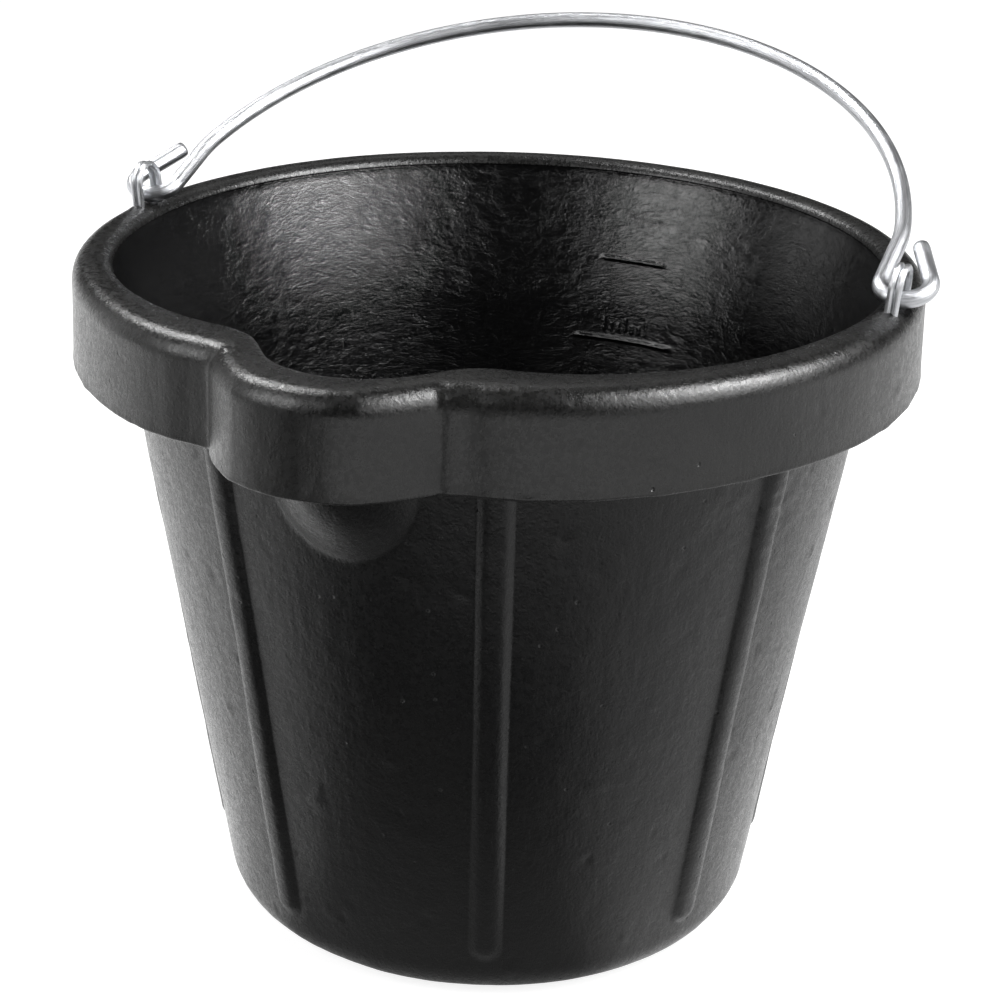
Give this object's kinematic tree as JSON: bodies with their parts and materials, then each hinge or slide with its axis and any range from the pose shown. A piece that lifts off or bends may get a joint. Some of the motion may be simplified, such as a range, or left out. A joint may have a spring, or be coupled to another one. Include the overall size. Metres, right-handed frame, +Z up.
{
  "type": "feed bucket",
  "caption": "Round tapered moulded rubber feed bucket with a thick rim, pour spout, outside ribs and a swinging steel wire bail hooked through wire eyes in the rim.",
  "frame": {"origin": "centre of the base's underside, on the bucket's axis", "axes": "+Z up; the pour spout points to -Y; the two wire eyes are on +X and -X; the bail leans back towards +Y at rest"},
  "size_m": [0.3326, 0.3363, 0.3281],
  "materials": {
    "rubber": "satin black moulded rubber, leathery inside, fine grain outside",
    "bail_steel": "bright zinc-plated drawn wire with lengthwise draw lines",
    "eye_steel": "zinc-plated wire, slightly duller than the bail"
  },
  "bodies": {
    "bucket": {"bucket_body": "rubber", "left_eye": "eye_steel", "right_eye": "eye_steel"},
    "bail": {"bail_handle": "bail_steel"}
  },
  "joints": [
    {"name": "bail_swing", "type": "hinge", "parent": "bucket", "child": "bail", "pos_m": [0, 0, 0.2677], "axis": [1, 0, 0], "range_deg": [-21, 159]}
  ]
}
